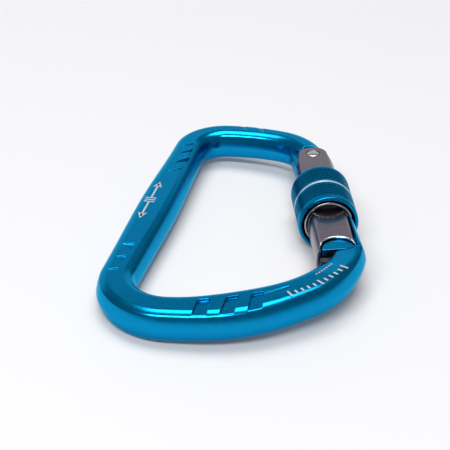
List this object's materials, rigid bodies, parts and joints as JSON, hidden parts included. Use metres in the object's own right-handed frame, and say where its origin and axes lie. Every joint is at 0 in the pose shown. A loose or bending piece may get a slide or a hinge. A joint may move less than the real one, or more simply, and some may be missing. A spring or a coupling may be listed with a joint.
{
  "type": "locking carabiner",
  "caption": "Large pear-shaped locking carabiner: forged blue bar, sprung gate on a rivet, and a knurled screw-lock sleeve that covers the gate's latch",
  "frame": {"origin": "centre of the overall box, on the bar's mid plane", "axes": "+Y runs along the long axis from the wide rope end to the narrow hinge end and is parallel to the closed gate, +X points to the gate side, +Z is square to the bar's plane"},
  "size_m": [0.0756, 0.1118, 0.0174],
  "materials": {
    "body": "blue anodised, satin gloss",
    "gate": "gunmetal anodised, satin",
    "rivet": "peened stainless steel",
    "sleeve": "blue anodised, knurled",
    "ring": "bare, bright turned",
    "plunger": "turned steel",
    "spring": "spring steel wire"
  },
  "bodies": {
    "frame": {"body": "body"},
    "gate": {"gate": "gate", "hinge_rivet": "rivet", "gate_spring": "spring"},
    "plunger": {"spring_plunger": "plunger"},
    "sleeve_slider": {"sleeve_ring": "ring"},
    "sleeve": {"locking_sleeve": "sleeve"}
  },
  "joints": [
    {"name": "gate_swing", "type": "hinge", "parent": "frame", "child": "gate", "pos_m": [0.02904, 0.03067, 0], "axis": [0, 0, 1], "range_deg": [-26, 0], "stiffness_Nm_per_rad": 0.5, "springref_deg": 14.32},
    {"name": "plunger_slide", "type": "slide", "parent": "gate", "child": "plunger", "axis": [0, -1, 0], "range_m": [0, 0.00086], "deforming": ["gate_spring"]},
    {"name": "sleeve_slide", "type": "slide", "parent": "gate", "child": "sleeve_slider", "axis": [0, -1, 0], "range_m": [0, 0.008]},
    {"name": "sleeve_turn", "type": "hinge", "parent": "sleeve_slider", "child": "sleeve", "pos_m": [0.02904, -0.00533, 0], "axis": [0, -1, 0], "range_deg": [0, 1442]}
  ],
  "couplings": [
    {"joint": "plunger_slide", "follows": "gate_swing", "m_per_rad": -0.00188},
    {"joint": "sleeve_turn", "follows": "sleeve_slide", "rad_per_m": 3141.6}
  ]
}
